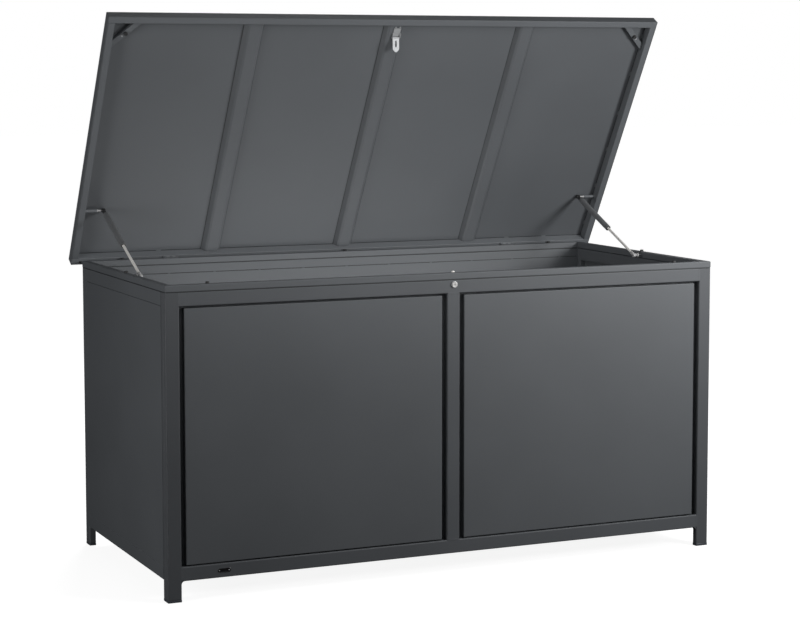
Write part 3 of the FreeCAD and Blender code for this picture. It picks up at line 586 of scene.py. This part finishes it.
def rim_bumpers():
    """Domed rubber stops with a countersunk middle, and the screws that hold them."""
    rubber = bmesh.new()
    steel = bmesh.new()
    profile = [(6.0, 0.0), (6.0, 0.9), (5.75, 1.3), (5.6, 2.6), (5.45, 4.2), (5.1, 5.1), (4.4, 5.6),
               (3.1, 5.6), (2.5, 5.2), (2.2, 4.6), (2.2, 0.0)]
    for middle, low_z in islands("rim_bumpers"):
        place = Matrix.Translation((middle.x, middle.y, low_z))
        lathe(rubber, place, mm(profile), 32, close=True)
        cross_head(steel, place, 2.1 * MM, 4.6 * MM)
    piece("rim_bumpers_moulded", rubber, RUBBER, "box", ["rim_bumpers"])
    piece("bumper_screws_cross", steel, SCREW, "box", ["bumper_screws"])


def lid_stops():
    """Rubber buffers under the corner braces and the plug in the lid's rear corner."""
    over = Matrix.Rotation(math.pi, 4, "X")
    bm = bmesh.new()
    for middle, _ in islands("lid_buffers"):
        centre = LID.inverted() @ middle
        place = LID @ Matrix.Translation((centre.x, centre.y, centre.z + 3.5 * MM)) @ over
        profile = [(0, 0), (6.0, 0.0), (6.0, 1.4), (5.2, 1.9), (5.2, 2.5), (5.9, 3.0), (5.9, 5.6),
                   (5.4, 6.6), (4.6, 7.0), (1.8, 7.0), (1.5, 6.2), (0, 6.0)]
        lathe(bm, place, mm(profile), 32)
    piece("lid_buffers_moulded", bm, RUBBER, "lid", ["lid_buffers"])
    bm = bmesh.new()
    low, high = box_in(LID, "lid_plug")
    place = LID @ Matrix.Translation(((low.x + high.x) / 2, (low.y + high.y) / 2, high.z)) @ over
    profile = [(0, -0.4), (4.0, -0.4), (4.0, 0.5), (3.6, 1.1), (2.6, 1.5), (0.9, 1.4), (0, 1.2)]
    lathe(bm, place, mm(profile), 28)
    piece("lid_plug_domed", bm, RUBBER, "lid", ["lid_plug"])


# ------------------------------------------------------------------ gas struts
def strut(word):
    """One gas strut: bright rod with a cast socket, painted tube with a crimp, black upper socket."""
    base = Vector(JOINTS[f"strut_swing_{word}"]["pos_m"])
    axis = Vector(JOINTS[f"strut_slide_{word}"]["axis"])
    top = base + axis * STRUT_LENGTH
    along = facing(base, axis)
    across = facing(base, (1, 0, 0))
    mouth = STRUT_MOUTH
    bm = bmesh.new()
    lathe(bm, along, mm([(0, 15), (4.0, 15), (4.0, mouth + 11), (7.3, mouth + 11), (7.3, mouth + 23),
                         (0, mouth + 23)]), 32)
    piece(f"strut_rod_bar_{word}", bm, ROD_CHROME_PAINTED_SHINE, f"strut_rod_{word}", [f"strut_rod_{word}"])
    bm = bmesh.new()
    lathe(bm, along, mm([(0, 6.4), (4.6, 6.4), (5.6, 7.2), (5.3, 9), (5.1, 13), (5.1, 19), (4.7, 20),
                         (0, 20)]), 28)
    lathe(bm, across, mm([(3.2, -5.2), (5.2, -5.2), (6.1, -4.0), (6.5, -2.0), (6.5, 2.0), (6.1, 4.0),
                          (5.2, 5.2), (3.2, 5.2)]), 32, close=True)
    piece(f"strut_rod_end_{word}", bm, CAST, f"strut_rod_{word}")
    bm = bmesh.new()
    lathe(bm, across, mm([(6.42, -0.9), (6.9, -0.45), (6.9, 0.45), (6.42, 0.9)]), 32, close=True)
    piece(f"strut_rod_clip_{word}", bm, ZINC, f"strut_rod_{word}")

    span = STRUT_LENGTH / MM
    end = span - 26
    bm = bmesh.new()
    lathe(bm, along, mm([
        (6.9, mouth + 0.6), (7.6, mouth + 0.1), (8.3, mouth), (8.8, mouth + 0.4), (9.0, mouth + 1.2),
        (9.0, mouth + 11.5), (8.75, mouth + 12.3), (8.35, mouth + 13), (8.35, mouth + 14),
        (8.75, mouth + 14.7), (9.0, mouth + 15.5), (9.0, end - 5), (8.7, end - 2.6), (7.8, end - 0.9),
        (6.4, end), (5.4, end + 0.4), (5.0, end + 1.2), (5.0, end + 6), (0, end + 6), (0, end - 4),
        (7.8, end - 4), (7.8, mouth + 9.5), (6.9, mouth + 9.5)]), 40, close=True)
    piece(f"strut_tube_body_{word}", bm, STRUT_PAINT, f"strut_tube_{word}",
          [f"strut_tube_{word}"])
    bm = bmesh.new()
    lathe(bm, along, mm([(4.08, mouth + 0.3), (5.0, mouth - 0.1), (6.6, mouth + 0.1), (7.3, mouth + 1.0),
                         (7.7, mouth + 2.0), (7.7, mouth + 9), (4.08, mouth + 9)]), 32, close=True)
    piece(f"strut_guide_ring_{word}", bm, NYLON, f"strut_tube_{word}",
          [f"strut_seal_{word}"])
    bm = bmesh.new()
    lathe(bm, along, mm([(0, end + 5), (5.3, end + 5), (5.3, end + 9), (5.7, end + 9.6), (5.7, span - 9),
                         (5.0, span - 4.5), (0, span - 4.5)]), 28)
    lathe(bm, facing(top, (1, 0, 0)), mm([
        (3.3, -5.6), (4.9, -5.9), (6.0, -4.8), (6.5, -2.6), (6.5, 2.6), (6.0, 4.8), (4.9, 5.9),
        (3.3, 5.6)]), 32, close=True)
    piece(f"strut_socket_{word}", bm, NYLON, f"strut_tube_{word}")


def strut_fittings():
    """Ball studs on the rim and stand-off bars on the lid's side rails."""
    wall, shoulder, tip = 883.5, 843.0, 829.5
    studs, seats, bars, pins = (bmesh.new() for _ in range(4))
    for word, side in SIDES:
        base = Vector(JOINTS[f"strut_swing_{word}"]["pos_m"])
        axis = Vector(JOINTS[f"strut_slide_{word}"]["axis"])
        out = facing(base, (side, 0, 0))
        lathe(studs, out, mm([
            (0, -2.6), (1.5, -2.3), (2.5, -1.3), (2.85, 0), (2.5, 1.5), (2.1, 3.0), (2.1, 8.2), (4.6, 9.0),
            (6.4, 10.2), (7.0, 11.8), (6.9, 13.4), (6.0, 14.6), (3.0, 15.2), (0, 15.2)]), 32)
        lathe(seats, out, mm([(0, 14.8), (3.0, 14.8), (3.0, 24.2), (3.8, 25.6), (6.4, 26), (7.0, 26.6),
                              (7.0, 28), (0, 28)]), 32)
        upper = LID.inverted() @ (base + axis * STRUT_LENGTH)
        seat = LID @ facing((0, upper.y, upper.z), (side, 0, 0))
        lathe(bars, seat, mm([
            (0, shoulder), (4.3, shoulder), (5.1, shoulder + 0.4), (5.5, shoulder + 1.3), (5.5, wall - 3.2),
            (6.1, wall - 1.8), (7.6, wall - 0.5), (7.9, wall + 0.3), (0, wall + 0.3)]), 32)
        lathe(pins, seat, mm([
            (0, 817.8), (1.9, 818.3), (3.0, 820), (3.25, 822), (2.9, 824.4), (2.2, 826.6), (2.2, tip),
            (3.0, tip + 0.5), (3.0, shoulder - 3.2), (4.4, shoulder - 3.0), (4.4, shoulder + 0.2),
            (0, shoulder + 0.2)]), 28)
    piece("strut_ball_studs", studs, CAST, "box", ["strut_base_studs"])
    piece("strut_stud_seats", seats, COAT, "box")
    # the stand-off bars take the rails' lighter coat copy, which is painted light
    piece("strut_stand_off_bars", bars, RAIL_LIT_COAT, "lid", ["strut_bars"])
    piece("strut_upper_ball_studs", pins, CAST, "lid")


# ------------------------------------------------------------------ lock and strike
def lock_axis(node):
    """Place on the lock's axis, at the front face of one of its parts."""
    across, _, height = JOINTS["key_turn"]["pos_m"]
    return facing((across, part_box(node)[0].y, height), (0, 1, 0))


def lock():
    """Stepped flange of the push lock."""
    low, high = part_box("lock_housing")
    deep = high.y - low.y
    bm = bmesh.new()
    lathe(bm, lock_axis("lock_housing"), mm([
        (5.55, 0.9), (6.6, 0.2), (7.6, 0), (8.5, 0.3), (8.9, 1.0), (9.05, 2.2), (9.5, 2.9), (9.5, 4.6),
        (9.2, 5.0), (7.4, 5.0)]) + [(7.4 * MM, deep), (5.55 * MM, deep)], 48, close=True)
    piece("lock_flange_turned", bm, LOCK_CHROME, "box", ["lock_housing"])


def rivet(bm, place, radius, height):
    """Domed rivet head."""
    shares = ((0, 1), (0.45, 0.93), (0.8, 0.62), (1, 0), (1, -0.3), (0, -0.3))
    lathe(bm, place, [(across * radius, rise * height) for across, rise in shares], 20)


def plunger():
    """Plunger barrel, shaft and peg, and a yoke whose rounded head shows above the rim."""
    low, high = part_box("lock_plunger")
    shaft = YOKE_FACE - low.y + 1 * MM
    peg_end = high.y - YOKE_FACE
    bm = bmesh.new()
    lathe(bm, lock_axis("lock_plunger"), mm([(3.7, 0.1), (4.9, 0.0), (5.4, 0.5), (5.4, 13), (3, 13)])
          + [(3 * MM, shaft), (0, shaft)] + mm([(0, 8.2), (3.7, 8.2)]), 40, close=True)
    face = seated((YOKE_ACROSS, YOKE_FACE, 0), (1, 0, 0), (0, 1, 0))
    half, foot, shoulder, crown = 6 * MM, -0.838, -0.876, -0.8785
    turns = [math.pi - math.pi * k / 12 for k in range(13)]
    outline = [(-half, foot), (-half, shoulder)]
    outline += [(half * math.cos(a), crown - 5 * MM * math.sin(a)) for a in turns]
    outline += [(half, shoulder), (half, foot)]
    prism(bm, face, outline, 0, 2 * MM, 0.4 * MM)
    dome = facing((YOKE_ACROSS, YOKE_FACE + 0.5 * MM, 0.8778), (0, 0, 1)) @ Matrix.Diagonal((1, 0.5, 1, 1))
    lathe(bm, dome, mm([(0, 0), (3.6, 0), (4.9, 1.2), (5.1, 2.6), (4.6, 4.0), (3.2, 5.1), (1.6, 5.6),
                        (0, 5.7)]), 24)
    peg = facing((YOKE_ACROSS, YOKE_FACE, 0.876), (0, 1, 0))
    lathe(bm, peg, mm([(0, 1), (2.5, 1)]) + [(2.5 * MM, peg_end - 0.6 * MM), (2.0 * MM, peg_end),
                                             (0, peg_end)], 20)
    # the yoke head's white is the painted sheen of the rod's chrome material
    piece("plunger_and_yoke", bm, ROD_CHROME_PAINTED_SHINE, "lock_button", ["lock_plunger"])


def key_plug():
    """Key plug with a keyway."""
    low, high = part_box("key_plug")
    middle = Vector(((low.x + high.x) / 2, low.y, (low.z + high.z) / 2))
    radius = (high.x - low.x) / 2
    turns = [2 * math.pi * k / 48 for k in range(48)]
    rim = [(radius * math.cos(a), radius * math.sin(a)) for a in turns]
    bm = bmesh.new()
    face = seated(middle, (1, 0, 0), (0, -1, 0))
    slotted(bm, face, rim, rectangle(1.2 * MM, 4.6 * MM, 0.3 * MM), (0, 0), -5 * MM, 0)
    body = [(0, 5 * MM), (radius, 5 * MM), (radius, 8 * MM), (0, 8 * MM)]
    lathe(bm, facing(middle, (0, 1, 0)), body, 48)
    piece("key_plug_turned", bm, LOCK_CHROME, "key_plug", ["key_plug"])


def strike():
    """Strike plate with round shoulders, a long round-ended hole and a rolled eye on its pin."""
    pivot = Vector(JOINTS["strike_swing"]["pos_m"])
    low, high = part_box("strike_plate")
    half = (high.x - low.x) / 2
    long, neck, round_tip, round_side = 44 * MM, -1.5 * MM, 2.6 * MM, 5 * MM
    side, tip, near = half - round_side, 2.4 * MM, -long + round_tip
    outline = [(-half, neck)] + arc(-side, -long + 10 * MM, round_side, 180, 235, 5)
    outline += arc(-tip, near, round_tip, 215, 270, 5) + arc(tip, near, round_tip, 270, 325, 5)
    outline += arc(side, -long + 10 * MM, round_side, 305, 360, 5) + [(half, neck)]
    slot = 2.75 * MM
    hole = arc(0, -11.75 * MM, slot, 0, 180, 10) + arc(0, -26.25 * MM, slot, 180, 360, 10)
    bm = bmesh.new()
    place = seated(pivot, (1, 0, 0), (0, -1, 0))
    slotted(bm, place, outline, hole, (0, -19 * MM), -1 * MM, 1 * MM, 120)
    bore, roll, ease = 1.35 * MM, 2.4 * MM, 0.2 * MM
    eye = [(bore, ease), (roll, 0), (roll, 2 * half), (bore, 2 * half - ease)]
    lathe(bm, facing(pivot + Vector((-half, 0, 0)), (1, 0, 0)), eye, 28, close=True)
    piece("strike_plate_pressed", bm, ZINC, "strike", ["strike_plate"])


def rib_rivets():
    """Rivets through the strike's bracket."""
    bm = bmesh.new()
    for x in (1, 15):
        for y in (-829, -815):
            rivet(bm, facing(lid_point(x * MM, y * MM, 14.9 * MM), lid_turn(0, 0, -1)), 2.2 * MM, 0.9 * MM)
    piece("bracket_rivets", bm, ZINC, "lid")


# ------------------------------------------------------------------ welds and rivets
def seam(bm, start, end, out, wide=0.0016, high=0.00025):
    """Dark strip along a joint between two sheets, thin as paint: it stands partly for the open seam and
    partly for painted shade along the joint.
    """
    start, end = Vector(start), Vector(end)
    place = seated((start + end) / 2, end - start, out)
    half = (end - start).length / 2
    section = [(-wide / 2, -high), (-wide / 2, 0.4 * high), (-wide / 4, high), (wide / 4, high),
               (wide / 2, 0.4 * high), (wide / 2, -high)]
    rows = [[bm.verts.new(place @ Vector((x, y, z))) for y, z in section] for x in (-half, half)]
    loft(bm, rows)
    bm.faces.new(rows[0])
    bm.faces.new(list(reversed(rows[1])))


def lid_point(x, y, z):
    """Point given in the lid's own frame."""
    return LID @ Vector((x, y, z))


def lid_turn(x, y, z):
    """Direction given in the lid's own frame."""
    return LID.to_3x3() @ Vector((x, y, z))


def lid_welds():
    """Tack welds where the lid skin meets its rails, and where the ribs meet the rails."""
    bm = bmesh.new()
    ends = (lid_point(side * 0.86, LID_FRONT_RAIL, SKIN_UNDER) for side in (-1, 1))
    stitch(bm, *ends, lid_turn(0, 1, -1), 0.155)
    offset = 0.9 * MM
    down = lid_turn(0, 0, -1)
    for x in (-0.62, 0.60, 0.74):
        spot = lid_point(x, LID_REAR_RAIL - offset, SKIN_UNDER)
        bead(bm, seated(spot, (1, 0, 0), down), 0.018, 0.004)
    for side in (-1, 1):
        for y in (-0.78, -0.64, -0.49, -0.35, -0.205, -0.055):
            spot = lid_point(side * (LID_SIDE_RAIL - offset), y, SKIN_UNDER)
            bead(bm, seated(spot, lid_turn(0, 1, 0), down), 0.016, 0.004)
    for rib in RIBS:
        for side in (-1, 1):
            for y, out in ((LID_FRONT_RAIL, 1), (LID_REAR_RAIL, -1)):
                spot = lid_point(rib + side * 12 * MM, y, 17.4 * MM)
                bead(bm, seated(spot, (1, 0, 0), lid_turn(0, out, -1)), 0.007, 0.0026)
    # the lid's tack welds take the hinge rail's lighter coat copy, which is painted light
    piece("lid_weld_beads", bm, HINGE_RAIL_LIT_COAT, "lid")


def box_welds():
    """Tack welds inside the side walls and along the rear sheet."""
    bm = bmesh.new()
    for side in (-1, 1):
        for z, up in ((TOP_RAIL[0], -1), (BOTTOM_RAIL[1], 1)):
            ends = ((side * RIM_INNER, y, z) for y in (BOX_FRONT + 0.05, BOX_REAR - 0.05))
            stitch(bm, *ends, (-side, 0, up), 0.15)
        for y, inward in ((BOX_FRONT + TUBE_THIN, 1), (BOX_REAR - TUBE_THIN, -1)):
            spot = (side * (RIM_INNER - 0.0005), y, 0.826)
            bead(bm, seated(spot, (0, 0, 1), (-side, inward, 0)), 0.009)
    for x in (-0.78, -0.60, -0.45, -0.30, -0.15, 0.0, 0.15, 0.30, 0.45, 0.60, 0.78):
        bead(bm, seated((x, REAR_SHEET, 0.832), (1, 0, 0), (0, -1, 1)), 0.010, 0.0028)
    piece("box_weld_beads", bm, COAT, "box")


def brace_rivets():
    """Ringed rivet beside each buffer, through the face of the corner brace."""
    beside, face = 9 * MM, 17 * MM
    ring = [(0, 0.5), (1.2, 0.5), (1.6, 1.0), (2.6, 1.1), (3.2, 0.5), (3.4, -0.4), (0, -0.4)]
    bm = bmesh.new()
    for middle, _ in islands("lid_buffers"):
        centre = LID.inverted() @ middle
        side = 1 if centre.x > 0 else -1
        spot = lid_point(centre.x + side * beside, centre.y + beside, face)
        lathe(bm, facing(spot, lid_turn(0, 0, -1)), mm(ring), 24)
    piece("brace_rivets", bm, ZINC, "lid")


def leg_fillets():
    """Rounded weld fillets in the inner corners between the front legs and the bottom rail."""
    radius, bite = 8 * MM, 0.5 * MM
    turns = [math.pi / 2 * k / 8 for k in range(9)]
    bm = bmesh.new()
    for side in (-1, 1):
        corner = Matrix.Translation((side * POST_INNER, BOX_FRONT + TUBE_THIN / 2, BOTTOM_RAIL[0]))
        outline = [(bite * side, bite), (bite * side, -radius)]
        outline += [(-side * radius * (1 - math.cos(a)), -radius * (1 - math.sin(a))) for a in turns]
        outline += [(-side * radius, bite)]
        prism(bm, corner @ Matrix.Rotation(math.pi / 2, 4, "X"), outline, -9 * MM, 9 * MM)
    # the fillets take the front frame's darker coat copy, which is painted shade
    piece("leg_fillets", bm, FRAME_SHADED_COAT, "box")


def lid_seam_shade():
    """Dark strips round the lid skin where it laps over the rails and the ribs: partly seams, partly
    painted shade beside the rails and ribs.
    """
    bm = bmesh.new()
    up = lid_turn(0, 0, -1)
    half = 0.882
    for y, wide in ((-3.4 * MM, 0.0018), (-0.8262, 0.0014)):
        seam(bm, lid_point(-half, y, SKIN_UNDER), lid_point(half, y, SKIN_UNDER), up, wide)
    for side in (-1, 1):
        x = side * 0.8826
        seam(bm, lid_point(x, -0.825, SKIN_UNDER), lid_point(x, -0.004, SKIN_UNDER), up, 0.0018)
    for rib in RIBS:
        # the wide strip on each rib's left side is painted shade along its flank; the narrow right one is
        # the seam
        for side, wide in ((-1, 0.0026), (1, 0.0008)):
            x = rib + side * RIB_FOOT
            seam(bm, lid_point(x, -0.824, SKIN_UNDER), lid_point(x, -0.006, SKIN_UNDER), up, wide)
    piece("lid_seam_lines", bm, SEAM_SHADE, "lid")


def box_seam_shade():
    """Dark strips at the seams of the rim, the rails and the rear sheet: partly seams, partly painted
    shade.
    """
    bm = bmesh.new()
    rim = TOP_RAIL[1]
    for half, y, z, wide in ((BOX_HALF - 2 * MM, BOX_FRONT, rim, 0.0022),
                             (RIM_INNER - 2 * MM, BOX_REAR - TUBE_THIN, rim, 0.0026),
                             (RIM_INNER - 4 * MM, REAR_SHEET, 0.8322, 0.0016)):
        seam(bm, (-half, y, z), (half, y, z), (0, -1, 0), wide)
    for side in (-1, 1):
        for x, inset, out, wide in ((BOX_HALF, 3 * MM, side, 0.0020), (RIM_INNER, 22 * MM, -side, 0.0024)):
            ends = ((side * x, y, rim) for y in (BOX_FRONT + inset, BOX_REAR - inset))
            seam(bm, *ends, (out, 0, 0), wide)
    piece("box_seam_lines", bm, SEAM_SHADE, "box")


def corner_fills():
    """Ground welds that bridge the joints between the front posts and the rails."""
    bm = bmesh.new()
    wide, ease, deep, proud = 0.0064, 0.0006, -0.0015, 0.00004
    long = TUBE_WIDE - 4.4 * MM
    for x in (-POST_INNER, POST_INNER):
        for low, high in (BOTTOM_RAIL, TOP_RAIL):
            place = seated((x, BOX_FRONT, (low + high) / 2), (0, 0, 1), (0, -1, 0))
            prism(bm, place, rectangle(long, wide, ease, 2), deep, proud)
    for z in (BOTTOM_RAIL[1], TOP_RAIL[0]):
        place = seated((0, BOX_FRONT, z), (1, 0, 0), (0, -1, 0))
        prism(bm, place, rectangle(long, wide, ease, 2), deep, proud)
    # the ground welds take the front frame's darker coat copy, which is painted shade
    piece("ground_corner_welds", bm, FRAME_SHADED_COAT, "box")


for strut_word, _ in SIDES:
    strut(strut_word)
strut_fittings()
foot_plugs()
nameplate()
rim_bumpers()
lid_stops()
lock()
plunger()
key_plug()
strike()
rib_rivets()
brace_rivets()
leg_fillets()
lid_welds()
box_welds()
lid_seam_shade()
box_seam_shade()
corner_fills()


# ------------------------------------------------------------------ stage and light
def area_light(name, place, target, size, power):
    """Soft rectangular lamp that the camera doesn't see."""
    data = bpy.data.lights.new(name, "AREA")
    data.shape = "RECTANGLE"
    data.size, data.size_y = size
    data.energy = power
    lamp = bpy.data.objects.new(name, data)
    bpy.context.scene.collection.objects.link(lamp)
    lamp.location = place
    lamp.visible_camera = False
    lamp.rotation_euler = (Vector(target) - Vector(place)).to_track_quat("-Z", "Y").to_euler()


def make_stage():
    """Pale floor that takes a faint shadow and throws no light back, under a white sky."""
    mesh = bpy.data.meshes.new("floor")
    bm = bmesh.new()
    bmesh.ops.create_grid(bm, x_segments=2, y_segments=2, size=40)
    bm.to_mesh(mesh)
    bm.free()
    floor = bpy.data.objects.new("floor", mesh)
    bpy.context.scene.collection.objects.link(floor)
    floor.location.z = -0.0005
    n = Nodes("pale_floor")
    n.set(Base_Color=(0.30, 0.30, 0.30, 1), Roughness=0.9, Specular_IOR_Level=0.1)
    n.shader.inputs["Emission Color"].default_value = (1, 1, 1, 1)
    reach = n.add("ShaderNodeVectorMath", operation="LENGTH")
    n.join(n.place(), reach.inputs[0])
    n.join(n.spread(reach.outputs["Value"], 1.2, 3.0, 0.90, 1.0), n.shader.inputs["Emission Strength"])
    dress(floor, n.material)
    floor.visible_diffuse = False
    floor.visible_glossy = False

    world = bpy.data.worlds.new("studio")
    world.use_nodes = True
    tree = world.node_tree
    sky = tree.nodes["Background"]
    sky.inputs["Color"].default_value = (0.95, 0.97, 1.0, 1)
    sky.inputs["Strength"].default_value = 0.02
    white = tree.nodes.new("ShaderNodeBackground")
    white.inputs["Strength"].default_value = 1.0
    white.inputs["Color"].default_value = (1, 1, 1, 1)
    path = tree.nodes.new("ShaderNodeLightPath")
    mix = tree.nodes.new("ShaderNodeMixShader")
    tree.links.new(path.outputs["Is Camera Ray"], mix.inputs[0])
    tree.links.new(sky.outputs[0], mix.inputs[1])
    tree.links.new(white.outputs[0], mix.inputs[2])
    tree.links.new(mix.outputs[0], tree.nodes["World Output"].inputs["Surface"])
    bpy.context.scene.world = world

    area_light("key_near", (1.43, -1.25, 1.3), (0, 0, 0.9), (0.5, 0.5), 8)
    area_light("key_far", (2.1, -2.7, 1.55), (0, 0, 0.9), (0.7, 0.7), 52)
    area_light("left_fill", (-3.0, -0.8, 1.0), (0, 0, 0.9), (1.0, 1.0), 27)
    area_light("lid_wash", (0, -1.1, 1.9), (0, 0.1, 1.1), (2.4, 0.6), 6)
    area_light("rim_strip", (0, -0.9, 0.98), (0, 0.4, 1.3), (1.8, 0.25), 1.2)
    area_light("mouth_glow", (-0.15, -0.1, 0.55), (-0.15, 0.3, 1.1), (1.3, 0.3), 1.6)
    area_light("hinge_glow", (-0.1, 0.2, 0.72), (-0.1, 0.36, 1.0), (1.2, 0.15), 0.35)
    area_light("back", (0.8, 3.0, 3.0), (0, 0, 0.8), (1.5, 1.5), 90)
    area_light("right_back", (3.5, 0.6, 1.8), (0, 0, 0.8), (1.5, 1.5), 30)
    scene = bpy.context.scene
    scene.view_settings.view_transform = "Standard"
    scene.view_settings.look = "None"


make_stage()
